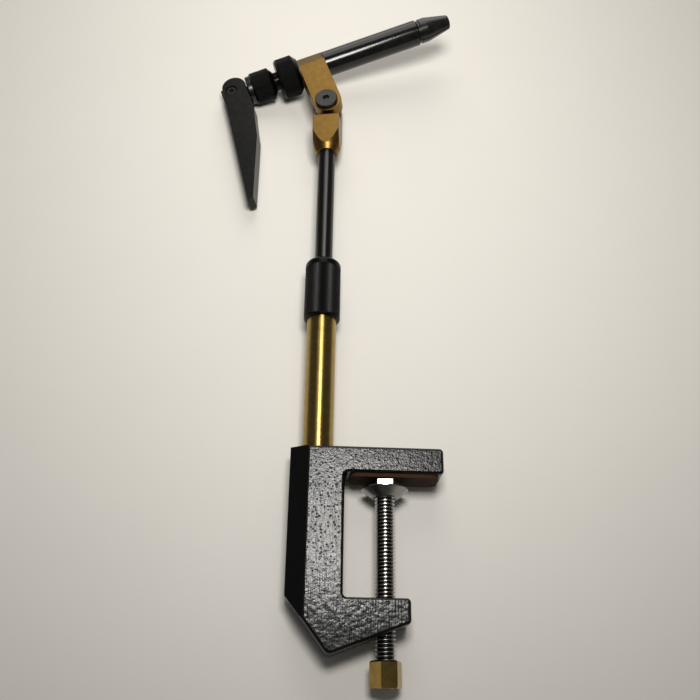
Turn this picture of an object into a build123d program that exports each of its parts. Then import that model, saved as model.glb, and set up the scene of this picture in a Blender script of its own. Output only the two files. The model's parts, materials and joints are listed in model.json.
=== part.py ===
from build123d import *
import os
from math import sqrt

os.makedirs("parts", exist_ok=True)

# Fly tying vise: a C clamp, a brass post, a telescoping stem and a tilting, rotating head with cam-drawn jaws.
# Millimetres. +Z runs up the post, +X from the post to the open side of the clamp, -Y to the front.
# The origin is on the pad's lower face, where it rests on a table, in line with the clamp screw.

# Clearances between pieces
run_gap = 0.05
slip_gap = 0.1
air_gap = 0.3
film_gap = 0.02

# Clamp frame, lengths along X counted from the post axis and heights down from its top face
frame_depth = 15.875
leg_width = 21.8
arm_reach = 50.4
arm_thick = 10.6
throat_height = 47.8
lower_reach = 36.4
lower_end_height = 8.9
toe_reach = 5.6
toe_drop = 79.0
heel_drop = 57.8
bevel_width = 7.5
bevel_depth = 5.0
inner_round = 1.6
outer_round = 1.6
toe_round = 3.0
frame_edge_round = 1.2
post_seat_depth = 26.0

# Leather pad
pad_thick = 1.5
pad_start = 13.2
pad_length = 35.4
pad_side_inset = 1.3
pad_corner_round = 3.0

# Clamp screw, its foot and its knob
screw_end_margin = 9.0
screw_d = 7.94
foot_nut_flats = 10.6
foot_nut_thick = 3.0
foot_nut_turn = -3.6
foot_rim_d = 18.8
foot_rim_thick = 0.5
foot_neck_d = 11.0
foot_height = 3.6
foot_mid_height_share = 0.45
foot_mid_radius_share = 0.45
knob_flats = 10.6
knob_height = 9.5
knob_turn = 9.0
knob_edge = 0.5
screw_length = 77.0
screw_end_chamfer = 0.7

# Post tube, sleeve, collet and stem, heights up from the clamp's top face
post_d = 12.7
post_bore_d = 10.1
post_top = 76.0
sleeve_d = 15.9
sleeve_bottom = 59.2
sleeve_length = 30.4
sleeve_shoulder_height = 3.4
sleeve_shoulder_d = 9.0
sleeve_dome_height_share = 0.6
sleeve_dome_width_share = 0.64
sleeve_foot_round = 0.9
collet_lip_thick = 1.6
collet_nose_height = 9.0
collet_nose_d = 9.6
collet_spigot_length = 6.0
collet_slits = 4
collet_slit = 0.8
stem_d = 7.94
stem_bottom = 18.0
guide_length = 12.0
guide_spigot_d = 6.0
guide_screw_d = 3.0
guide_screw_length = 9.0
guide_screw_head_d = 7.5
guide_screw_head_thick = 2.4
guide_screw_socket_flats = 2.0
guide_screw_socket_depth = 1.2

# Knuckle and tilt pivot
bar_side = 12.7
pivot_height = 178.4
knuckle_drop = 28.6
ledge_drop = 9.0
knuckle_neck_d = 10.0
knuckle_vee_height = 2.8
knuckle_cone_height = 11.0
knuckle_socket_depth = 9.0
head_swing = -10.4
head_tilt = 19.4
washer_thick = 0.4
washer_d = 12.0
pivot_shank_d = 5.0
pivot_head_d = 11.0
pivot_head_thick = 1.6
pivot_head_edge = 0.3
pivot_socket_flats = 3.2
pivot_socket_depth = 1.2
pivot_tip_margin = 0.8

# Head block, counted from the tilt pivot; it reaches further to the front than to the rear by the lead
axis_rise = 28.2
block_lead = 0.95
block_top_margin = 6.0
block_bevel_height = 7.6
block_bevel_depth = 3.3
block_step_clear = 0.7

# Barrel, ring, knob and collar
barrel_d = 12.7
barrel_length = 50.8
barrel_front_chamfer = 0.8
spindle_d = 9.0
barrel_bore_d = 9.0
barrel_bore_depth = 34.0
mouth_d = 11.2
mouth_depth = 4.0
rotary_washer_d = 15.0
ring_d = 20.2
ring_length = 11.0
ring_front_chamfer_length = 2.0
ring_front_chamfer_depth = 2.4
ring_rear_chamfer = 1.0
neck_length = 2.3
knob_round_d = 15.9
knob_length = 11.8
knob_front_chamfer_length = 2.0
knob_front_chamfer_depth = 2.8
knob_rear_chamfer = 0.7
knob_web = 5.5
collar_d = 14.0
collar_thick = 2.4
collar_edge = 0.4

# Draw rod and its return spring
draw_d = 5.0
draw_flange_d = 8.0
draw_flange_thick = 1.6
draw_flange_from_front = 20.5
draw_neck_d = 4.0
draw_neck_length = 3.0
draw_head_d = 6.2
draw_head_thick = 2.0
tang_thick = 3.2
tang_height = 9.4
tang_root_length = 4.0
tang_tail = 5.25
tang_corner_round = 0.6
spring_wire_d = 0.9
spring_mean_d = 7.0
spring_coils = 5

# Jaws
jaw_slit = 0.6
jaw_shank_d = 8.2
jaw_groove = 1.1
jaw_collar_length = 3.6
jaw_collar_d = 12.0
jaw_nose_length = 12.25
jaw_tip_d = 6.8
jaw_tip_round = 1.3
jaw_mouth_gap = 0.3
jaw_hook_clear = 0.2

# Cam lever, measured from its pivot: forward along the barrel and down the lever
lever_thick = 9.4
lever_slot = 3.6
cam_d = 12.2
cam_forward = 1.85
cam_rise = 1.8
cam_gap = 0.3
cam_flat_drop = 14.1
lever_shoulder_drop = 20.6
lever_shoulder_forward = 6.65
lever_kink_drop = 32.7
lever_kink_forward = 4.55
lever_tip_drop = 67.7
lever_tip_back = 10.3
lever_tip_width = 2.9
lever_waist_drop = 18.9
lever_waist_back = 5.95
lever_slot_drop = 11.0
lever_edge = 0.35
lever_screw_d = 3.4
lever_screw_head_d = 5.0
lever_screw_head_gap = 0.45
lever_screw_head_sink = 2.2
lever_screw_head_thick = 1.7
lever_screw_socket_flats = 2.4
lever_screw_socket_depth = 1.1

# Derived positions in the shared frame
screw_reach = lower_reach - screw_end_margin
post_x = -screw_reach
clamp_top = pad_thick + arm_thick
leg_half = leg_width / 2
lower_top = arm_thick + throat_height
lower_end = lower_top + lower_end_height
screw_top = -air_gap
foot_top = screw_top - foot_nut_thick
knob_bottom = screw_top - screw_length
sleeve_top = sleeve_bottom + sleeve_length
knuckle_bottom = pivot_height - knuckle_drop
ledge_height = pivot_height - ledge_drop
half_bar = bar_side / 2
lap_face = washer_thick / 2 + film_gap

# Derived positions along the barrel
block_back = bar_side / 2
block_front = block_back + block_lead
barrel_back = block_front + film_gap
barrel_front = barrel_back + barrel_length
ring_front = -(block_back + washer_thick + 2 * film_gap)
ring_back = ring_front - ring_length
knob_front = ring_back - neck_length
knob_back = knob_front - knob_length
spindle_back = knob_back + knob_web
collar_back = knob_back - collar_thick
lever_pivot_x = collar_back - cam_gap - cam_forward - cam_d / 2
flange_front = barrel_front - draw_flange_from_front
neck_front = flange_front + draw_neck_length
draw_front = neck_front + draw_head_thick
jaw_back = flange_front + jaw_hook_clear
jaw_collar_back = barrel_front + jaw_groove
jaw_collar_front = jaw_collar_back + jaw_collar_length
jaw_tip = jaw_collar_front + jaw_nose_length

# Places: the clamp's top on the post axis, the swung stem, the tilted head and the barrel axis within the head
clamp_place = Pos(post_x, 0, clamp_top)
stem_place = clamp_place * Rot(0, 0, head_swing)
head_place = stem_place * Pos(0, 0, pivot_height) * Rot(0, -head_tilt, 0)
barrel_place = head_place * Pos(0, 0, axis_rise) * Rot(0, 90, 0)


def turned(*outline):
    """Solid turned about Z from (radius, height) corners."""
    return revolve(Plane.XZ * make_face(Polyline(*outline, close=True)), Axis.Z)


def rod(d, low, high):
    """Upright cylinder between two heights."""
    return Pos(0, 0, low) * Cylinder(d / 2, high - low, align=(Align.CENTER, Align.CENTER, Align.MIN))


def hexagon(flats, low, high, turn=0):
    """Upright hexagonal prism between two heights, given its width across flats."""
    outline = RegularPolygon(flats / 2, 6, major_radius=False, rotation=turn)
    return Pos(0, 0, low) * extrude(outline, high - low)


def block(x_low, x_high, y_low, y_high, z_low, z_high):
    """Box given by its limits along each axis."""
    size = Box(x_high - x_low, y_high - y_low, z_high - z_low, align=Align.MIN)
    return Pos(x_low, y_low, z_low) * size


def corner(sketch, x, y):
    """Corner of a sketch nearest to a point."""
    return sketch.vertices().sort_by_distance((x, y, 0))[0]


def clamp_frame():
    outline = make_face(Polyline(
        (-leg_half, 0), (arm_reach, 0), (arm_reach, -arm_thick), (leg_half, -arm_thick),
        (leg_half, -lower_top), (lower_reach, -lower_top), (lower_reach, -lower_end),
        (toe_reach, -toe_drop), (-leg_half, -heel_drop), close=True))
    inner = [corner(outline, leg_half, -arm_thick), corner(outline, leg_half, -lower_top)]
    outline = fillet(inner, inner_round)
    ends = [corner(outline, arm_reach, 0), corner(outline, arm_reach, -arm_thick),
            corner(outline, lower_reach, -lower_top), corner(outline, lower_reach, -lower_end)]
    outline = fillet(ends, outer_round)
    outline = fillet(corner(outline, toe_reach, -toe_drop), toe_round)
    body = extrude(Plane.XZ * outline, frame_depth / 2, both=True)
    front = -frame_depth / 2
    wedge = make_face(Polyline(
        (-leg_half, front), (bevel_width - leg_half, front), (-leg_half, front + bevel_depth), close=True))
    cutter = Pos(0, 0, -toe_drop) * extrude(wedge, toe_drop)
    body -= cutter
    body -= mirror(cutter, Plane.XZ)
    body = fillet(body.edges().group_by(Axis.Y)[0], frame_edge_round)
    body = fillet(body.edges().group_by(Axis.Y)[-1], frame_edge_round)
    body -= rod(post_d, -post_seat_depth, 0)
    body -= Pos(screw_reach, 0, 0) * rod(screw_d + 2 * run_gap, -toe_drop, -lower_top + inner_round)
    return clamp_place * body


def clamp_pad():
    plate = RectangleRounded(pad_length, frame_depth - 2 * pad_side_inset, pad_corner_round)
    centre = post_x + pad_start + pad_length / 2
    return Pos(centre, 0, 0) * extrude(plate, pad_thick)


def clamp_screw():
    radius = screw_d / 2
    tip = radius - screw_end_chamfer
    return turned(
        (0, knob_bottom), (tip, knob_bottom), (radius, knob_bottom + screw_end_chamfer),
        (radius, screw_top - screw_end_chamfer), (tip, screw_top), (0, screw_top))


def foot_nut():
    body = hexagon(foot_nut_flats, foot_top, screw_top, foot_nut_turn)
    return body - rod(screw_d, foot_top, screw_top)


def pressure_foot():
    bore = screw_d / 2 + slip_gap
    rim = foot_rim_d / 2
    neck = foot_neck_d / 2
    top = foot_top - film_gap
    bottom = top - foot_height
    rim_low = top - foot_rim_thick
    mid_radius = neck + (rim - neck) * foot_mid_radius_share
    mid_height = bottom + (rim_low - bottom) * foot_mid_height_share
    flare = Spline((rim, rim_low), (mid_radius, mid_height), (neck, bottom))
    sides = Polyline((neck, bottom), (bore, bottom), (bore, top), (rim, top), (rim, rim_low))
    return revolve(Plane.XZ * make_face(flare + sides), Axis.Z)


def clamp_knob():
    body = hexagon(knob_flats, knob_bottom, knob_bottom + knob_height, knob_turn)
    body = chamfer(body.edges().group_by(Axis.Z)[0] + body.edges().group_by(Axis.Z)[-1], knob_edge)
    return body - rod(screw_d, knob_bottom, knob_bottom + knob_height)


def post_tube():
    tube = rod(post_d, -post_seat_depth, post_top) - rod(post_bore_d, -post_seat_depth, post_top)
    return clamp_place * tube


def sleeve_cone():
    """Heights and radii of the conical seat that the sleeve and the collet share."""
    low = post_top + collet_lip_thick
    high = low + collet_nose_height
    return low, high, post_d / 2, collet_nose_d / 2


def lock_sleeve():
    low, high, wide, narrow = sleeve_cone()
    outside = sleeve_d / 2
    shoulder = sleeve_shoulder_d / 2
    over_post = post_d / 2 + run_gap
    over_stem = stem_d / 2 + slip_gap
    dome_low = sleeve_top - sleeve_shoulder_height
    dome_mid = (shoulder + (outside - shoulder) * sleeve_dome_width_share,
                dome_low + sleeve_shoulder_height * sleeve_dome_height_share)
    dome = ThreePointArc((outside, dome_low), dome_mid, (shoulder, sleeve_top))
    sides = Polyline(
        (shoulder, sleeve_top), (over_stem, sleeve_top), (over_stem, high + air_gap),
        (narrow + air_gap, high + air_gap), (wide + air_gap, low), (wide + air_gap, post_top - collet_lip_thick),
        (over_post, post_top - collet_lip_thick), (over_post, sleeve_bottom), (outside, sleeve_bottom),
        (outside, dome_low))
    body = revolve(Plane.XZ * make_face(dome + sides), Axis.Z)
    rim = body.edges().filter_by(GeomType.CIRCLE).group_by(Axis.Z)[0].sort_by(SortBy.RADIUS)[-1]
    return clamp_place * fillet(rim, sleeve_foot_round)


def stem_collet():
    low, high, wide, narrow = sleeve_cone()
    bore = stem_d / 2 + run_gap
    seat = post_top + film_gap
    spigot = post_bore_d / 2 - run_gap
    body = turned(
        (bore, seat - collet_spigot_length), (spigot, seat - collet_spigot_length), (spigot, seat),
        (wide, seat), (wide, low), (narrow, high), (bore, high))
    slit = block(0, post_d, -collet_slit / 2, collet_slit / 2, low, high)
    for turn in range(collet_slits):
        body -= Rot(0, 0, 360 * turn / collet_slits) * slit
    return clamp_place * body


def stem_rod():
    spigot = rod(guide_spigot_d, stem_bottom, stem_bottom + guide_length)
    shaft = rod(stem_d, stem_bottom + guide_length, knuckle_bottom + knuckle_socket_depth)
    hole = rod(guide_screw_d, stem_bottom, stem_bottom + guide_screw_length)
    return stem_place * (spigot + shaft - hole)


def stem_guide():
    low = stem_bottom + film_gap
    high = stem_bottom + guide_length - film_gap
    body = rod(post_bore_d - 2 * run_gap, low, high) - rod(guide_spigot_d + 2 * run_gap, low, high)
    return stem_place * body


def stem_guide_screw():
    low = stem_bottom - guide_screw_head_thick
    body = rod(guide_screw_head_d, low, stem_bottom)
    body += rod(guide_screw_d, stem_bottom, stem_bottom + guide_screw_length)
    return stem_place * (body - hexagon(guide_screw_socket_flats, low, low + guide_screw_socket_depth))


def knuckle():
    top = pivot_height + half_bar
    body = block(-half_bar, half_bar, -half_bar, half_bar, knuckle_bottom, pivot_height)
    body += Pos(0, 0, pivot_height) * Rot(90, 0, 0) * Cylinder(half_bar, bar_side)
    corner_radius = half_bar * sqrt(2)
    cone_top = knuckle_bottom + knuckle_cone_height
    body &= turned(
        (0, knuckle_bottom), (knuckle_neck_d / 2, knuckle_bottom), (half_bar, knuckle_bottom + knuckle_vee_height),
        (corner_radius, cone_top), (corner_radius, top), (0, top))
    body -= block(-half_bar, half_bar, -half_bar, lap_face, ledge_height, top)
    body -= rod(stem_d, knuckle_bottom, knuckle_bottom + knuckle_socket_depth)
    body -= Pos(0, 0, pivot_height) * Rot(90, 0, 0) * Cylinder(pivot_shank_d / 2, bar_side)
    return stem_place * body


def friction_washer():
    ring = Cylinder(washer_d / 2, washer_thick) - Cylinder(pivot_shank_d / 2 + slip_gap, washer_thick)
    return head_place * Rot(90, 0, 0) * ring


def pivot_screw():
    face = half_bar + film_gap
    head = rod(pivot_head_d, face, face + pivot_head_thick)
    head = chamfer(head.edges().group_by(Axis.Z)[-1], pivot_head_edge)
    shank = rod(pivot_shank_d, pivot_tip_margin - half_bar, face)
    socket = hexagon(pivot_socket_flats, face + pivot_head_thick - pivot_socket_depth, face + pivot_head_thick)
    return head_place * Rot(90, 0, 0) * (head + shank - socket)


def head_block():
    top = axis_rise + block_top_margin
    step = half_bar + block_step_clear
    middle = block_lead / 2
    length = block_back + block_front
    body = block(-block_back, block_front, -half_bar, half_bar, step, top)
    body += block(-block_back, block_front, -half_bar, -lap_face, 0, step)
    tab_depth = half_bar - lap_face
    body += Pos(middle, -lap_face - tab_depth / 2, 0) * Rot(90, 0, 0) * Cylinder(length / 2, tab_depth)
    wedge = make_face(Polyline(
        (-half_bar, top), (block_bevel_depth - half_bar, top), (-half_bar, top - block_bevel_height), close=True))
    cutter = extrude(Plane.YZ * wedge, block_front, both=True)
    body -= cutter
    body -= mirror(cutter, Plane.XZ)
    body -= Rot(90, 0, 0) * Cylinder(pivot_shank_d / 2 + run_gap, 2 * bar_side)
    body -= Pos(middle, 0, axis_rise) * Rot(0, 90, 0) * Cylinder(spindle_d / 2 + run_gap, length)
    return head_place * body


def barrel():
    outside = barrel_d / 2
    spindle = spindle_d / 2
    narrow = draw_d / 2 + slip_gap
    wide = barrel_bore_d / 2
    bore_back = barrel_front - barrel_bore_depth
    body = turned(
        (narrow, spindle_back), (spindle, spindle_back), (spindle, barrel_back), (outside, barrel_back),
        (outside, barrel_front - barrel_front_chamfer), (outside - barrel_front_chamfer, barrel_front),
        (mouth_d / 2, barrel_front), (wide, barrel_front - mouth_depth), (wide, bore_back), (narrow, bore_back))
    return barrel_place * body


def rotary_washer():
    high = -block_back - film_gap
    low = high - washer_thick
    return barrel_place * (rod(rotary_washer_d, low, high) - rod(spindle_d + 2 * slip_gap, low, high))


def rotary_ring():
    bore = spindle_d / 2 + run_gap
    outside = ring_d / 2
    body = turned(
        (bore, ring_back), (outside - ring_rear_chamfer, ring_back), (outside, ring_back + ring_rear_chamfer),
        (outside, ring_front - ring_front_chamfer_length), (outside - ring_front_chamfer_depth, ring_front),
        (bore, ring_front))
    return barrel_place * body


def adjust_knob():
    bore = spindle_d / 2 + run_gap
    narrow = draw_d / 2 + slip_gap
    outside = knob_round_d / 2
    floor = spindle_back - film_gap
    body = turned(
        (narrow, knob_back), (outside - knob_rear_chamfer, knob_back), (outside, knob_back + knob_rear_chamfer),
        (outside, knob_front - knob_front_chamfer_length), (outside - knob_front_chamfer_depth, knob_front),
        (bore, knob_front), (bore, floor), (narrow, floor))
    return barrel_place * body


def cam_collar():
    narrow = draw_d / 2 + slip_gap
    outside = collar_d / 2
    high = knob_back - film_gap
    body = turned(
        (narrow, collar_back), (outside - collar_edge, collar_back), (outside, collar_back + collar_edge),
        (outside, high), (narrow, high))
    return barrel_place * body


def draw_rod():
    root = collar_back + tang_root_length
    shaft = turned(
        (0, root), (draw_d / 2, root), (draw_d / 2, flange_front - draw_flange_thick),
        (draw_flange_d / 2, flange_front - draw_flange_thick), (draw_flange_d / 2, flange_front),
        (draw_neck_d / 2, flange_front), (draw_neck_d / 2, neck_front), (draw_head_d / 2, neck_front),
        (draw_head_d / 2, draw_front), (0, draw_front))
    tail = lever_pivot_x - tang_tail
    front = collar_back - cam_gap
    tang = Pos((tail + front) / 2, 0, 0) * Box(front - tail, tang_thick, tang_height)
    tang = fillet(tang.edges().filter_by(Axis.Y).group_by(Axis.X)[0], tang_corner_round)
    neck = Pos((front + root) / 2, 0, 0) * Box(root - front, tang_thick, draw_d)
    neck &= Pos(front, 0, 0) * Rot(0, 90, 0) * rod(draw_d, 0, root - front)
    pin_hole = Pos(lever_pivot_x, 0, 0) * Rot(90, 0, 0) * Cylinder(lever_screw_d / 2 + run_gap, tang_thick)
    lying = head_place * Pos(0, 0, axis_rise)
    return barrel_place * shaft + lying * (tang + neck - pin_hole)


def return_spring():
    start = barrel_front - barrel_bore_depth + spring_wire_d
    end = flange_front - draw_flange_thick - spring_wire_d
    path = Helix((end - start) / spring_coils, end - start, spring_mean_d / 2, center=(0, 0, start))
    section = Plane(path @ 0, z_dir=path % 0) * Circle(spring_wire_d / 2)
    return barrel_place * sweep(section, path=path, is_frenet=True)


def jaw(side):
    """One jaw half; side is -1 for the front half and 1 for the rear half."""
    shank = jaw_shank_d / 2
    mouth_back = barrel_front - mouth_depth
    cone = mouth_d / 2 - jaw_mouth_gap
    collar = jaw_collar_d / 2
    body = turned(
        (0, jaw_back), (shank, jaw_back), (shank, mouth_back), (cone, barrel_front), (cone, jaw_collar_back),
        (collar, jaw_collar_back), (collar, jaw_collar_front), (jaw_tip_d / 2, jaw_tip), (0, jaw_tip))
    body = fillet(body.edges().group_by(Axis.Z)[-1], jaw_tip_round)
    body -= rod(draw_neck_d + 2 * jaw_hook_clear, jaw_back, neck_front)
    body -= rod(draw_head_d + 2 * jaw_hook_clear, neck_front - jaw_hook_clear, draw_front + jaw_hook_clear)
    reach = jaw_collar_d
    half = block(-reach, reach, jaw_slit / 2, reach, jaw_back, jaw_tip)
    if side < 0:
        half = mirror(half, Plane.XZ)
    return barrel_place * (body & half)


def lever_place():
    """Place of the lever's pivot, with the lever's own axes along the head's."""
    return head_place * Pos(lever_pivot_x, 0, axis_rise)


def lever():
    cam = Pos(cam_forward, cam_rise) * Circle(cam_d / 2)
    cam_back = cam_forward - cam_d / 2
    cam_front = cam_forward + cam_d / 2
    blade = make_face(Polyline(
        (cam_back, cam_rise), (cam_front, cam_rise), (cam_front, -cam_flat_drop),
        (lever_shoulder_forward, -lever_shoulder_drop), (lever_kink_forward, -lever_kink_drop),
        (lever_tip_width - lever_tip_back, -lever_tip_drop), (-lever_tip_back, -lever_tip_drop),
        (-lever_waist_back, -lever_waist_drop), close=True))
    body = extrude(Plane.XZ * (cam + blade), lever_thick / 2, both=True)
    body = chamfer(body.edges().group_by(Axis.Y)[0] + body.edges().group_by(Axis.Y)[-1], lever_edge)
    body -= block(-cam_d, cam_d, -lever_slot / 2, lever_slot / 2, -lever_slot_drop, cam_d)
    face = lever_thick / 2
    sink_d = lever_screw_head_d + 2 * lever_screw_head_gap
    drill = rod(lever_screw_d, -face, face) + rod(sink_d, face - lever_screw_head_sink, face)
    body -= Rot(90, 0, 0) * drill
    return lever_place() * body


def lever_screw():
    face = lever_thick / 2
    low = face - lever_screw_head_sink
    high = low + lever_screw_head_thick
    body = rod(lever_screw_d, -face + lever_edge, low) + rod(lever_screw_head_d, low, high)
    body -= hexagon(lever_screw_socket_flats, high - lever_screw_socket_depth, high)
    return lever_place() * Rot(90, 0, 0) * body


pieces = {
    "clamp_frame": clamp_frame(),
    "clamp_pad": clamp_pad(),
    "clamp_screw": clamp_screw(),
    "foot_nut": foot_nut(),
    "pressure_foot": pressure_foot(),
    "clamp_knob": clamp_knob(),
    "post_tube": post_tube(),
    "lock_sleeve": lock_sleeve(),
    "stem_collet": stem_collet(),
    "stem_rod": stem_rod(),
    "stem_guide": stem_guide(),
    "stem_guide_screw": stem_guide_screw(),
    "knuckle": knuckle(),
    "friction_washer": friction_washer(),
    "pivot_screw": pivot_screw(),
    "head_block": head_block(),
    "barrel": barrel(),
    "rotary_washer": rotary_washer(),
    "rotary_ring": rotary_ring(),
    "adjust_knob": adjust_knob(),
    "cam_collar": cam_collar(),
    "draw_rod": draw_rod(),
    "return_spring": return_spring(),
    "jaw_front": jaw(-1),
    "jaw_rear": jaw(1),
    "lever": lever(),
    "lever_screw": lever_screw(),
}

for name, piece in pieces.items():
    export_step(piece, f"parts/{name}.step")
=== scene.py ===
import json
import math

import bmesh
import bpy
from mathutils import Matrix, Vector


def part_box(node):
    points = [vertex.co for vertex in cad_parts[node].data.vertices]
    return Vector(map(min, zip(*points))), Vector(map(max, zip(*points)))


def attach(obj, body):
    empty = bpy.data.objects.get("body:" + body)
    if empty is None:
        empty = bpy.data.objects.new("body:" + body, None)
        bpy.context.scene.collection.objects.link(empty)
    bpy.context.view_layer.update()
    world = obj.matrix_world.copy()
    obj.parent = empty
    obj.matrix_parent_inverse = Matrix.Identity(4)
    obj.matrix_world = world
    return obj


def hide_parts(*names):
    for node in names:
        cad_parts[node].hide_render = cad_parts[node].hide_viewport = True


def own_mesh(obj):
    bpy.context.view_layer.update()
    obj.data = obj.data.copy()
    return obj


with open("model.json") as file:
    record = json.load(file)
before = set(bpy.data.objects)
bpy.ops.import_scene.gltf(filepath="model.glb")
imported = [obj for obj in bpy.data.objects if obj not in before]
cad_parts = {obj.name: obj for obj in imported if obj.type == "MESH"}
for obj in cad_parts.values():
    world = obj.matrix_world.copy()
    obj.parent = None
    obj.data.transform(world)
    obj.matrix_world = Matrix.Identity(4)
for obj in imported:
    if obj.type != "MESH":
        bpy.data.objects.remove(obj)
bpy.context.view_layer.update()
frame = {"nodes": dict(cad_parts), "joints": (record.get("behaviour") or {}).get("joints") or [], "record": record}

# Fly tying vise lying on a pale table, seen from its clamp end. Metres, in the frame of the solids.
# The table stands behind the vise, so it is the plane that the back of the vise touches.

mm = 0.001

# Mesh pieces
merge_gap = 0.001 * mm
plain_crease = 38

# Camera, fitted to the clamp, post and screw
image_pixels = 700
focal_pixels = 819.5
sensor = 36.0
camera_place = Vector((-31.8, -320.4, -91.6)) * mm
camera_forward = Vector((0.0481, 0.9052, 0.4223))
camera_up = Vector((-0.0370, -0.4208, 0.9064))
camera_clip = 1 * mm

# Table, touched by the clamp's lower back edge and by the adjusting knob
table_reach = 3.0
table_gap = 0.1 * mm
table_mottle = 25 * mm
table_colours = ((0.80, 0.765, 0.71), (0.82, 0.79, 0.735))
table_rough = 0.55

# Light that comes from all sides of the room
room_light = (0.09, 0.09, 0.089)

# Clamp screw thread
thread_pitch = 25.4 / 18 * mm
thread_depth_share = 0.61
thread_columns = 48
thread_rows = 8
thread_crest_share = 0.14
thread_root_share = 0.22
thread_end_taper = 0.9 * mm

# Diamond knurl, with its crease angle in degrees
knurl_samples = 4
knurl_slope = 1.25
knurl_crease = 12

# Lock sleeve
sleeve_teeth = 42
sleeve_knurl_depth = 0.24 * mm
sleeve_foot_round = 0.9 * mm
sleeve_foot_share = 1 / 3
sleeve_shoulder_height = 3.4 * mm
sleeve_top_radius = 4.5 * mm
sleeve_dome_steps = 7
sleeve_plain_band = 1.7 * mm
sleeve_bore_height = 27.7 * mm
sleeve_bore_gap = 0.05 * mm

# Ring and knob behind the block, with chamfers as (length, depth)
grip_knurl_depth = 0.30 * mm
ring_teeth = 46
ring_front_chamfer = (2.0 * mm, 2.4 * mm)
ring_rear_chamfer = (1.0 * mm, 1.0 * mm)
knob_teeth = 37
knob_front_chamfer = (2.0 * mm, 2.8 * mm)
knob_rear_chamfer = (0.7 * mm, 0.7 * mm)

# Return spring around the draw rod
spring_wire = 0.9 * mm
spring_coils = 5
spring_steps = 24
spring_sides = 8

# Looks that several materials share; a quarter turn sets brushed highlights along upright rods
noise_span = (0.3, 0.7)
full_gloss = 0.5
quarter_turn = 0.25
bevel_samples = 6

# Screw sockets: how far their shade reaches, and how open a place is where it is dull or fully glossy
socket_reach = 1.5 * mm
socket_open_span = (0.55, 0.95)

# Paint on the clamp: heights between which its texture changes, grain sizes and (below, above) bump shares
paint_leg_heights = (-52 * mm, -20 * mm)
paint_arm_heights = (-6 * mm, 2 * mm)
paint_front_span = (0.9, 0.98)
paint_black = (0.001, 0.001, 0.001)
paint_dusty = (0.003, 0.003, 0.003)
paint_dust = 0.9 * mm
paint_dust_span = (0.5, 0.75)
paint_lump = 1.8 * mm
paint_lump_detail = 0.8
paint_lump_shares = (0.27, 0.12)
paint_grain = 0.7 * mm
paint_grain_detail = 1.0
paint_grain_shares = (0.03, 0.17)
paint_pit_spacing = 1.4 * mm
paint_pit_radius_share = 0.32
paint_pit_floor_share = 0.3
paint_pit_shares = (0.03, 0.20)
paint_file_mark = 0.6 * mm
paint_file_stretch = (1, 1, 16)
paint_file_detail = 1.5
paint_file_shares = (0.26, 0.08)
paint_relief = 0.42 * mm
paint_rough = (0.20, 0.24)
paint_gloss_patch = 1.1 * mm
paint_gloss_swing = (-0.04, 0.04)
paint_ior = 1.46

# Directions and places that the joints give
joints = {joint["name"]: joint for joint in frame["joints"]}
post_place = Matrix.Translation(Vector(joints["stem_swing"]["pos_m"]) * Vector((1, 1, 0)))
screw_place = Matrix.Identity(4)
barrel_centre = Vector(joints["barrel_turn"]["pos_m"])
barrel_along = Vector(joints["barrel_turn"]["axis"])
head_across = Vector(joints["lever_turn"]["axis"])
head_up = barrel_along.cross(head_across)
head_turn = Matrix((head_up, -head_across, barrel_along)).transposed()
barrel_place = Matrix.Translation(barrel_centre) @ head_turn.to_4x4()


def extent(node, place):
    """Lowest and highest point along a place's Z axis and the largest distance from it, of a solid."""
    inside = place.inverted()
    points = [inside @ vertex.co for vertex in frame["nodes"][node].data.vertices]
    heights = [point.z for point in points]
    return min(heights), max(heights), max(point.xy.length for point in points)


def inner_radius(node, place):
    """Smallest distance of a hollow solid from a place's Z axis."""
    inside = place.inverted()
    return min((inside @ vertex.co).xy.length for vertex in frame["nodes"][node].data.vertices)


def on_circle(radius, turn, height):
    """Point at a distance from the Z axis; turn is a share of a full turn."""
    angle = 2 * math.pi * turn
    return radius * math.cos(angle), radius * math.sin(angle), height


def new_piece(name, points, faces, place, body, slot, node, crease=plain_crease, **marks):
    """Mesh piece in the shared frame that stands for a solid and rides on its body.

    Each mark is an attribute with a value for each point. Points that fall together become one.
    Edges that turn by more than the crease angle, in degrees, stay sharp.
    """
    mesh = bpy.data.meshes.new(name)
    mesh.from_pydata([place @ Vector(point) for point in points], [], faces)
    for mark, values in marks.items():
        mesh.attributes.new(mark, "FLOAT", "POINT").data.foreach_set("value", values)
    work = bmesh.new()
    work.from_mesh(mesh)
    bmesh.ops.remove_doubles(work, verts=work.verts, dist=merge_gap)
    work.to_mesh(mesh)
    work.free()
    mesh.validate()
    mesh.shade_smooth()
    mesh.set_sharp_from_angle(angle=math.radians(crease))
    piece = bpy.data.objects.new(name, mesh)
    bpy.context.scene.collection.objects.link(piece)
    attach(piece, body)
    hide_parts(node)
    return piece


def thread_profile(share):
    """Depth of the thread, from 0 at the crest to 1 at the root, along one pitch."""
    flank = (1 - thread_crest_share - thread_root_share) / 2
    if share < thread_crest_share:
        return 0.0
    if share < thread_crest_share + flank:
        return (share - thread_crest_share) / flank
    if share < thread_crest_share + flank + thread_root_share:
        return 1.0
    return (1 - share) / flank


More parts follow.
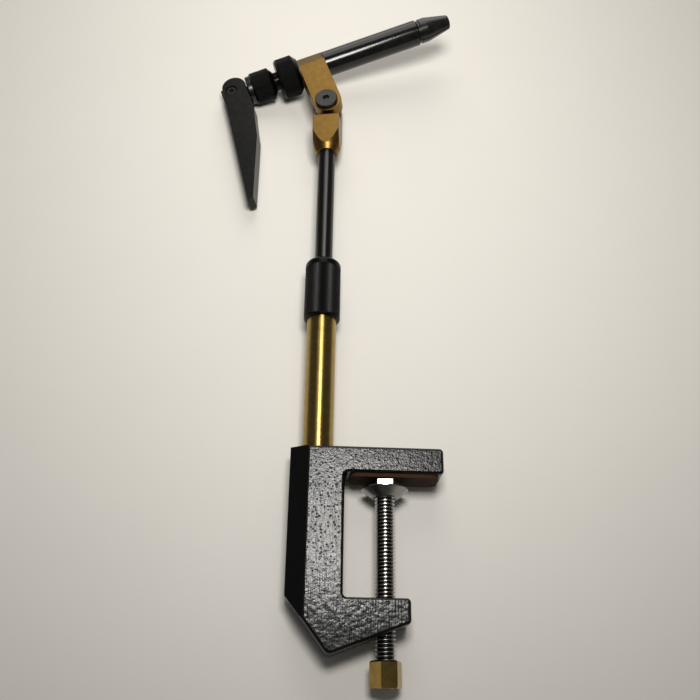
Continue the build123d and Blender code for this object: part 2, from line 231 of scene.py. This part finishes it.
def threaded_rod():
    """Clamp screw with a right-hand thread: each row of points climbs one pitch in a turn."""
    low, high, outside = extent("clamp_screw", screw_place)
    depth = thread_depth_share * thread_pitch
    rows = math.ceil((high - low) / thread_pitch + 1) * thread_rows
    points, roots = [], []
    for row in range(rows + 1):
        root = thread_profile(row % thread_rows / thread_rows)
        for column in range(thread_columns):
            turn = column / thread_columns
            height = low + (row / thread_rows + turn - 1) * thread_pitch
            height = min(max(height, low), high)
            to_end = min(height - low, high - height)
            radius = min(outside - depth * root, outside - max(thread_end_taper - to_end, 0))
            points.append(on_circle(radius, turn, height))
            roots.append(root)
    faces = []
    for row in range(rows):
        for column in range(thread_columns):
            corner = row * thread_columns + column
            if column + 1 < thread_columns:
                faces.append((corner, corner + 1, corner + 1 + thread_columns, corner + thread_columns))
            elif row + thread_rows + 1 <= rows:
                across = (row + thread_rows) * thread_columns
                faces.append((corner, across, across + thread_columns, corner + thread_columns))
    faces.append(tuple(reversed(range(thread_columns))))
    last = rows * thread_columns
    faces.append(tuple(range(last, last + thread_columns)))
    return new_piece("screw_thread", points, faces, screw_place, "screw", "screw_steel", "clamp_screw",
                     root=roots)


def knurl_height(row, column):
    """Height of a diamond knurl, from 0 in the grooves to 1 at the peaks, on its own grid of samples."""
    sides = ((row + column) / knurl_samples, (row - column) / knurl_samples)
    return 2 * min(abs(side - round(side)) for side in sides)


def knurl_faces(row, column, corners):
    """One cell of the knurl's grid, split along a groove that crosses it. Corners go round the cell."""
    first, second, third, fourth = corners
    if (row + column + 1) % knurl_samples == 0:
        return [(first, second, fourth), (second, third, fourth)]
    if (row - column) % knurl_samples == 0:
        return [(first, second, third), (first, third, fourth)]
    return [corners]


def knurl_rows(outline, step):
    """The outline's corners, with rows a step apart added along its knurled lines."""
    rows = []
    for start, end in zip(outline, outline[1:] + outline[:1]):
        length = math.hypot(end[0] - start[0], end[1] - start[1])
        count = max(1, round(length / step)) if start[2] + end[2] > 0 else 1
        for part in range(count):
            rows.append([here + (there - here) * part / count for here, there in zip(start, end)])
    return rows


def knurled_piece(name, node, body, place, teeth, depth, outline):
    """Closed turned piece. The outline lists (radius, height, knurl share) corners around its section."""
    columns = teeth * knurl_samples
    widest = max(corner[0] for corner in outline)
    rows = knurl_rows(outline, knurl_slope * 2 * math.pi * widest / columns)
    points, peaks = [], []
    for row, (radius, height, share) in enumerate(rows):
        for column in range(columns):
            peak = knurl_height(row, column)
            points.append(on_circle(radius - depth * share * (1 - peak), column / columns, height))
            peaks.append(peak * share)
    faces = []
    for row in range(len(rows)):
        below = row * columns
        above = (row + 1) % len(rows) * columns
        for column in range(columns):
            beside = (column + 1) % columns
            cell = (below + column, below + beside, above + beside, above + column)
            faces.extend(knurl_faces(row, column, cell))
    return new_piece(name, points, faces, place, body, "knurl_black", node, knurl_crease, peak=peaks)


def lock_sleeve():
    """Knurled sleeve with a rounded foot, a plain band below its dome, and a bore in two sizes."""
    low, high, outside = extent("lock_sleeve", post_place)
    over_post = extent("post_tube", post_place)[2] + sleeve_bore_gap
    over_stem = inner_radius("lock_sleeve", post_place)
    foot = low + sleeve_foot_round
    foot_bulge = sleeve_foot_share * sleeve_foot_round
    shoulder = high - sleeve_shoulder_height
    band = shoulder - sleeve_plain_band
    bore_top = low + sleeve_bore_height
    dome = []
    for step in range(sleeve_dome_steps + 1):
        climb = step / sleeve_dome_steps
        radius = sleeve_top_radius + (outside - sleeve_top_radius) * (1 - climb ** 2)
        dome.append((radius, shoulder + sleeve_shoulder_height * climb, 0))
    outline = [
        (over_post, low, 0), (outside - sleeve_foot_round, low, 0),
        (outside - foot_bulge, low + foot_bulge, 0), (outside, foot, 0),
        (outside, foot, 1), (outside, band, 1), (outside, band, 0), *dome,
        (over_stem, high, 0), (over_stem, bore_top, 0), (over_post, bore_top, 0)]
    return knurled_piece("sleeve_knurl", "lock_sleeve", "sleeve", post_place, sleeve_teeth,
                         sleeve_knurl_depth, outline)


def grip(name, node, body, teeth, rear, front):
    """Knurled ring on the barrel axis; rear and front are its chamfers as (length, depth)."""
    low, high, outside = extent(node, barrel_place)
    bore = inner_radius(node, barrel_place)
    rear_end = low + rear[0]
    front_end = high - front[0]
    outline = [
        (bore, low, 0), (outside - rear[1], low, 0), (outside, rear_end, 0), (outside, rear_end, 1),
        (outside, front_end, 1), (outside, front_end, 0), (outside - front[1], high, 0), (bore, high, 0)]
    return knurled_piece(name, node, body, barrel_place, teeth, grip_knurl_depth, outline)


def return_spring():
    """Coil spring in the barrel around the draw rod, drawn at one length; the real spring shortens as the draw rod
    goes back.
    """
    low, high, outside = extent("return_spring", barrel_place)
    wire = spring_wire / 2
    climb = high - low - spring_wire
    steps = spring_coils * spring_steps
    points = []
    for step in range(steps + 1):
        for side in range(spring_sides):
            tilt = 2 * math.pi * side / spring_sides
            radius = outside - wire + wire * math.cos(tilt)
            height = low + wire + climb * step / steps + wire * math.sin(tilt)
            points.append(on_circle(radius, step / spring_steps, height))
    last = steps * spring_sides
    faces = [tuple(range(spring_sides)), tuple(reversed(range(last, last + spring_sides)))]
    for here in range(0, last, spring_sides):
        there = here + spring_sides
        for side in range(spring_sides):
            beside = (side + 1) % spring_sides
            faces.append((here + side, there + side, there + beside, here + beside))
    piece = new_piece("spring_coil", points, faces, barrel_place, "rotor", "spring_steel", "return_spring")
    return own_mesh(piece)


def start_material(name):
    material = bpy.data.materials.new(name)
    material.use_nodes = True
    return material, material.node_tree, material.node_tree.nodes["Principled BSDF"]


def dress(tree, shader, colour, rough):
    """Gives a material its colour and its roughness, both from other nodes."""
    tree.links.new(colour, shader.inputs["Base Color"])
    tree.links.new(rough, shader.inputs["Roughness"])


def noise(tree, grain, stretch=(1, 1, 1), turn=None, detail=4.0):
    """Noise in the piece's own coordinates. The grain is its feature size, stretched along turned axes."""
    place = tree.nodes.new("ShaderNodeTexCoord")
    spread = tree.nodes.new("ShaderNodeMapping")
    spread.vector_type = "TEXTURE"
    spread.inputs["Scale"].default_value = [grain * share for share in stretch]
    if turn is not None:
        spread.inputs["Rotation"].default_value = turn.to_euler()
    field = tree.nodes.new("ShaderNodeTexNoise")
    field.inputs["Scale"].default_value = 1.0
    field.inputs["Detail"].default_value = detail
    tree.links.new(place.outputs["Object"], spread.inputs["Vector"])
    tree.links.new(spread.outputs["Vector"], field.inputs["Vector"])
    return field.outputs["Fac"]


def remap(tree, source, low, high, out_low=0, out_high=1):
    node = tree.nodes.new("ShaderNodeMapRange")
    for socket, value in zip(("From Min", "From Max", "To Min", "To Max"), (low, high, out_low, out_high)):
        node.inputs[socket].default_value = value
    tree.links.new(source, node.inputs["Value"])
    return node.outputs["Result"]


def math_node(tree, operation, first, second):
    node = tree.nodes.new("ShaderNodeMath")
    node.operation = operation
    for socket, value in zip(node.inputs, (first, second)):
        if isinstance(value, (int, float)):
            socket.default_value = value
        else:
            tree.links.new(value, socket)
    return node.outputs["Value"]


def blend_colours(tree, share, first, second):
    node = tree.nodes.new("ShaderNodeMix")
    node.data_type = "RGBA"
    node.inputs["A"].default_value = (*first, 1)
    node.inputs["B"].default_value = (*second, 1)
    tree.links.new(share, node.inputs["Factor"])
    return node.outputs["Result"]


def point_mark(tree, name):
    """Value that a mesh piece's points carry under a name."""
    node = tree.nodes.new("ShaderNodeAttribute")
    node.attribute_name = name
    return node.outputs["Fac"]


def raise_bumps(tree, shader, height, distance, edge=None):
    """Bump from a height field; edge rounds the look of sharp corners by that radius."""
    bump = tree.nodes.new("ShaderNodeBump")
    bump.inputs["Distance"].default_value = distance
    bump.inputs["Strength"].default_value = 1.0
    tree.links.new(height, bump.inputs["Height"])
    if edge is not None:
        bevel = tree.nodes.new("ShaderNodeBevel")
        bevel.samples = bevel_samples
        bevel.inputs["Radius"].default_value = edge
        tree.links.new(bevel.outputs["Normal"], bump.inputs["Normal"])
    tree.links.new(bump.outputs["Normal"], shader.inputs["Normal"])


def own_axis(tree, kind, axis):
    """One axis of a piece's own coordinates; kind is Object for places and Normal for directions."""
    place = tree.nodes.new("ShaderNodeTexCoord")
    parts = tree.nodes.new("ShaderNodeSeparateXYZ")
    tree.links.new(place.outputs[kind], parts.inputs["Vector"])
    return parts.outputs[axis]


def front_share(tree):
    """1 on faces that look to the front or back of the vise, 0 on the others."""
    facing = math_node(tree, "ABSOLUTE", own_axis(tree, "Normal", "Y"), 0)
    return remap(tree, facing, *paint_front_span)


def place_share(tree, axis, low, high):
    """0 below the low place on an axis, 1 above the high one."""
    return remap(tree, own_axis(tree, "Object", axis), low, high)


def cell_field(tree, spacing, feature):
    """Distance from the middles or the edges of cells with a given spacing."""
    place = tree.nodes.new("ShaderNodeTexCoord")
    cells = tree.nodes.new("ShaderNodeTexVoronoi")
    cells.feature = feature
    cells.inputs["Scale"].default_value = 1 / spacing
    tree.links.new(place.outputs["Object"], cells.inputs["Vector"])
    return cells.outputs["Distance"]


def cast_paint():
    """Gloss black paint over a casting: pitted at the top, filed on the leg and lumpy at the foot."""
    material, tree, shader = start_material("cast_paint")
    upper = place_share(tree, "Z", *paint_leg_heights)
    on_arm = place_share(tree, "Z", *paint_arm_heights)
    pits = remap(tree, cell_field(tree, paint_pit_spacing, "F1"),
                 paint_pit_floor_share * paint_pit_radius_share, paint_pit_radius_share)
    files = noise(tree, paint_file_mark, paint_file_stretch, detail=paint_file_detail)
    layers = (
        (noise(tree, paint_lump, detail=paint_lump_detail), upper, paint_lump_shares),
        (noise(tree, paint_grain, detail=paint_grain_detail), upper, paint_grain_shares),
        (pits, upper, paint_pit_shares),
        (files, on_arm, paint_file_shares),
    )
    height = 0
    for field, zone, shares in layers:
        layer = math_node(tree, "MULTIPLY", field, remap(tree, zone, 0, 1, *shares))
        height = math_node(tree, "ADD", height, layer)
    height = math_node(tree, "MULTIPLY", height, front_share(tree))
    raise_bumps(tree, shader, height, paint_relief)
    dust = remap(tree, noise(tree, paint_dust), *paint_dust_span)
    gloss_patches = remap(tree, noise(tree, paint_gloss_patch), *noise_span, *paint_gloss_swing)
    rough = math_node(tree, "ADD", remap(tree, upper, 0, 1, *paint_rough), gloss_patches)
    dress(tree, shader, blend_colours(tree, dust, paint_black, paint_dusty), rough)
    shader.inputs["IOR"].default_value = paint_ior
    return material


def worked_metal(name, patch_scale, patch_span, relief, colour, worn, rough, grain, stretch=(1, 1, 1),
                 turn=None, edge=None, brushed=0):
    """Metal with worn patches, tool marks and an uneven polish; rough is (least, most).

    A brushed upright rod draws its highlights out along its length.
    """
    material, tree, shader = start_material(name)
    patches = remap(tree, noise(tree, patch_scale * grain), *patch_span)
    marks = noise(tree, grain, stretch, turn)
    dress(tree, shader, blend_colours(tree, patches, colour, worn), remap(tree, marks, *noise_span, *rough))
    shader.inputs["Anisotropic"].default_value = brushed
    shader.inputs["Anisotropic Rotation"].default_value = quarter_turn
    raise_bumps(tree, shader, marks, relief, edge)
    return material, shader


def metal(name, relief=0.005 * mm, **finish):
    """Bare metal with stains."""
    material, shader = worked_metal(name, patch_scale=12, patch_span=(0.35, 0.7), relief=relief, **finish)
    shader.inputs["Metallic"].default_value = 1.0
    return material


def black_oxide(name, relief=0.004 * mm, ior=1.5, **finish):
    """Blackened steel: dark and glossy, with faint worn patches."""
    material, shader = worked_metal(name, patch_scale=9, patch_span=(0.45, 0.75), relief=relief, **finish)
    shader.inputs["IOR"].default_value = ior
    return material


def limit_gloss(material, share):
    """Takes the gloss off a material where the share is low."""
    tree = material.node_tree
    shader = tree.nodes["Principled BSDF"]
    tree.links.new(math_node(tree, "MULTIPLY", share, full_gloss), shader.inputs["Specular IOR Level"])


def barrel_black():
    """Blackened barrel, polished in front of the ring; on its spindle behind the ring the gloss is taken off, as
    painted shade in the gap between ring and knob.
    """
    material = black_oxide(
        "barrel_black", colour=(0.004, 0.004, 0.004), worn=(0.011, 0.0105, 0.010), rough=(0.12, 0.18),
        grain=0.25 * mm, stretch=(1, 1, 30), turn=head_turn, relief=0.002 * mm, ior=1.45)
    ring_low, ring_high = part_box("rotary_ring")
    # Painted shade: no gloss on the spindle behind the ring, where it sits in the shadow between ring and knob.
    limit_gloss(material, place_share(material.node_tree, "X", ring_low.x, ring_high.x))
    return material


def screw_dark():
    """Blackened screw heads whose sockets lose their gloss, as painted shade in the hollows."""
    material = black_oxide(
        "screw_dark", colour=(0.012, 0.0108, 0.009), worn=(0.030, 0.026, 0.021), rough=(0.22, 0.32),
        grain=0.25 * mm, edge=0.15 * mm, ior=1.4)
    tree = material.node_tree
    # Ambient occlusion takes the gloss off inside the sockets: painted shade in the hollows.
    socket_shade = tree.nodes.new("ShaderNodeAmbientOcclusion")
    socket_shade.inputs["Distance"].default_value = socket_reach
    limit_gloss(material, remap(tree, socket_shade.outputs["AO"], *socket_open_span))
    return material


def screw_steel():
    """Bright steel thread whose roots are darker, as painted shade in the grooves."""
    bright = (0.60, 0.59, 0.57)
    root_shade_colour = (0.05, 0.047, 0.042)
    root_span = (0.25, 0.9)
    grain = 0.3 * mm
    rough = (0.16, 0.30)
    material, tree, shader = start_material("screw_steel")
    # The roots of the thread take the darker colour: painted shade where the grooves lie in shadow.
    root_shade = remap(tree, point_mark(tree, "root"), *root_span)
    dress(tree, shader,
          blend_colours(tree, root_shade, bright, root_shade_colour),
          remap(tree, noise(tree, grain), *noise_span, *rough))
    shader.inputs["Metallic"].default_value = 1.0
    return material


def knurl_black():
    """Blackened knurl whose peaks are lighter, partly as wear and partly as painted highlight, with black grooves
    as painted shade.
    """
    black = (0.0012, 0.0012, 0.0012)
    worn = (0.026, 0.026, 0.0245)
    peak_span = (0.45, 1.0)
    wear_patch = 1.5 * mm
    grain = 0.6 * mm
    rough = (0.28, 0.38)
    ior = 1.25
    material, tree, shader = start_material("knurl_black")
    # Lighter peaks and black grooves: wear, and also painted highlight and painted shade that make the diamonds
    # show.
    near_peak = remap(tree, point_mark(tree, "peak"), *peak_span)
    peak_wear_and_highlight = math_node(tree, "MULTIPLY", near_peak, noise(tree, wear_patch))
    dress(tree, shader,
          blend_colours(tree, peak_wear_and_highlight, black, worn),
          remap(tree, noise(tree, grain), *noise_span, *rough))
    shader.inputs["IOR"].default_value = ior
    return material


def leather():
    """Brown leather with a fine pebbled grain and darker patches."""
    dark = (0.028, 0.014, 0.006)
    light = (0.075, 0.038, 0.017)
    patch = 4 * mm
    rough = (0.7, 0.85)
    gloss = 0.15
    pebble = 0.7 * mm
    pebble_edge_share = 0.25
    relief = 0.08 * mm
    material, tree, shader = start_material("leather")
    patches = noise(tree, patch)
    dress(tree, shader,
          blend_colours(tree, patches, dark, light),
          remap(tree, patches, *noise_span, *rough))
    shader.inputs["Specular IOR Level"].default_value = gloss
    pebbles = remap(tree, cell_field(tree, pebble, "DISTANCE_TO_EDGE"), 0, pebble_edge_share)
    raise_bumps(tree, shader, pebbles, relief)
    return material


def nylon():
    """Dark nylon with a faint cloudiness."""
    dark = (0.030, 0.026, 0.020)
    light = (0.048, 0.042, 0.034)
    cloud = 2 * mm
    rough = (0.4, 0.55)
    material, tree, shader = start_material("nylon")
    clouds = noise(tree, cloud)
    dress(tree, shader,
          blend_colours(tree, clouds, dark, light),
          remap(tree, clouds, *noise_span, *rough))
    return material


def wear_materials():
    """One material for each slot, put on the solids that use it."""
    made = {
        "frame_black": cast_paint(),
        "pad_leather": leather(),
        "screw_steel": screw_steel(),
        "bright_plate": metal(
            "bright_plate", colour=(0.36, 0.35, 0.335), worn=(0.28, 0.27, 0.255), rough=(0.18, 0.28),
            grain=0.4 * mm, edge=0.15 * mm),
        "brass_bar": metal(
            "brass_bar", colour=(0.50, 0.34, 0.11), worn=(0.36, 0.23, 0.07), rough=(0.10, 0.20),
            grain=0.35 * mm, edge=0.2 * mm),
        "brass_tube": metal(
            "brass_tube", colour=(0.42, 0.30, 0.095), worn=(0.34, 0.235, 0.07), rough=(0.28, 0.36),
            grain=0.25 * mm, stretch=(1, 1, 30), relief=0.002 * mm, brushed=0.92),
        "brass_satin": metal(
            "brass_satin", colour=(0.20, 0.118, 0.031), worn=(0.163, 0.094, 0.0235), rough=(0.32, 0.42),
            grain=0.22 * mm, stretch=(5, 1, 1), edge=0.3 * mm),
        "stem_black": black_oxide(
            "stem_black", colour=(0.002, 0.0018, 0.0016), worn=(0.004, 0.0036, 0.0032), rough=(0.30, 0.36),
            grain=0.25 * mm, stretch=(1, 1, 30), relief=0.002 * mm, ior=1.6, brushed=0.92),
        "barrel_black": barrel_black(),
        "jaw_black": black_oxide(
            "jaw_black", colour=(0.004, 0.004, 0.004), worn=(0.013, 0.012, 0.011), rough=(0.20, 0.30),
            grain=0.4 * mm, stretch=(1, 1, 8), turn=head_turn, relief=0.003 * mm, edge=0.3 * mm),
        "lever_grey": black_oxide(
            "lever_grey", colour=(0.005, 0.005, 0.005), worn=(0.012, 0.0117, 0.0113), rough=(0.28, 0.42),
            grain=0.3 * mm, edge=0.25 * mm, ior=1.3),
        "screw_dark": screw_dark(),
        "spring_steel": metal(
            "spring_steel", colour=(0.45, 0.45, 0.45), worn=(0.33, 0.32, 0.31), rough=(0.25, 0.4),
            grain=0.3 * mm),
        "washer_nylon": nylon(),
        "knurl_black": knurl_black(),
    }
    slot_of = {part["node"]: part["material_slot"] for part in frame["record"]["subparts"]}
    slot_of.update({"barrel": "barrel_black", "cam_collar": "jaw_black"})
    for node, piece in frame["nodes"].items():
        piece.data.materials.clear()
        piece.data.materials.append(made[slot_of[node]])
    return made


def table_top():
    """Pale table behind the vise, see-through from behind so that the back of the vise can be looked at."""
    clamp_low, clamp_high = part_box("clamp_frame")
    touch_low = Vector((0, clamp_high.y + table_gap, clamp_low.z))
    knob_low, knob_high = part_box("adjust_knob")
    touch_high = Vector((0, knob_high.y + table_gap, (knob_low.z + knob_high.z) / 2))
    up = (touch_high - touch_low).normalized() * table_reach
    side = Vector((1, 0, 0)) * table_reach
    corners = [touch_low - side - up, touch_low + side - up, touch_low + side + up, touch_low - side + up]
    mesh = bpy.data.meshes.new("table_top")
    mesh.from_pydata(corners, [], [(0, 1, 2, 3)])
    table = bpy.data.objects.new("table_top", mesh)
    bpy.context.scene.collection.objects.link(table)
    material, tree, shader = start_material("table_top")
    colour = blend_colours(tree, noise(tree, table_mottle), *table_colours)
    tree.links.new(colour, shader.inputs["Base Color"])
    shader.inputs["Roughness"].default_value = table_rough
    geometry = tree.nodes.new("ShaderNodeNewGeometry")
    clear = tree.nodes.new("ShaderNodeBsdfTransparent")
    sides = tree.nodes.new("ShaderNodeMixShader")
    tree.links.new(geometry.outputs["Backfacing"], sides.inputs["Fac"])
    tree.links.new(shader.outputs["BSDF"], sides.inputs[1])
    tree.links.new(clear.outputs["BSDF"], sides.inputs[2])
    tree.links.new(sides.outputs["Shader"], tree.nodes["Material Output"].inputs["Surface"])
    mesh.materials.append(material)


def lamp(name, place, target, size, watts, colour, spread=180):
    """Rectangular lamp that looks from a place to a target; spread is its beam angle in degrees."""
    light = bpy.data.lights.new(name, "AREA")
    light.shape = "RECTANGLE"
    light.size, light.size_y = size
    light.energy = watts
    light.color = colour
    light.spread = math.radians(spread)
    holder = bpy.data.objects.new(name, light)
    holder.location = place
    holder.rotation_euler = (Vector(target) - Vector(place)).to_track_quat("-Z", "Y").to_euler()
    bpy.context.scene.collection.objects.link(holder)


def studio():
    """Two soft lamps in front of the vise and a dim room."""
    lamp("near_lamp", place=(-0.01, -0.40, 0.075), target=(-0.01, 0, 0.25), size=(0.13, 0.13), watts=0.99,
         colour=(1.0, 0.985, 0.95), spread=150)
    lamp("room_lamp", place=(-0.04, -0.25, 0.55), target=(-0.04, 0, 0.30), size=(0.32, 0.5), watts=1.08,
         colour=(1.0, 0.97, 0.92))
    world = bpy.data.worlds.new("room")
    world.use_nodes = True
    backdrop = world.node_tree.nodes["Background"]
    backdrop.inputs["Color"].default_value = (*room_light, 1)
    bpy.context.scene.world = world
    bpy.context.scene.view_settings.view_transform = "Standard"


def camera():
    """Camera at the photograph's viewpoint."""
    data = bpy.data.cameras.new("camera")
    data.sensor_width = sensor
    data.lens = focal_pixels / image_pixels * sensor
    data.clip_start = camera_clip
    holder = bpy.data.objects.new("camera", data)
    back = -camera_forward.normalized()
    right = camera_up.cross(back).normalized()
    turn = Matrix((right, back.cross(right), back)).transposed().to_4x4()
    holder.matrix_world = Matrix.Translation(camera_place) @ turn
    bpy.context.scene.collection.objects.link(holder)
    bpy.context.scene.camera = holder


materials = wear_materials()
threaded_rod().data.materials.append(materials["screw_steel"])
return_spring().data.materials.append(materials["spring_steel"])
knurled = [
    lock_sleeve(),
    grip("ring_knurl", "rotary_ring", "ring", ring_teeth, ring_rear_chamfer, ring_front_chamfer),
    grip("knob_knurl", "adjust_knob", "knob", knob_teeth, knob_rear_chamfer, knob_front_chamfer),
]
for piece in knurled:
    piece.data.materials.append(materials["knurl_black"])
table_top()
studio()
camera()
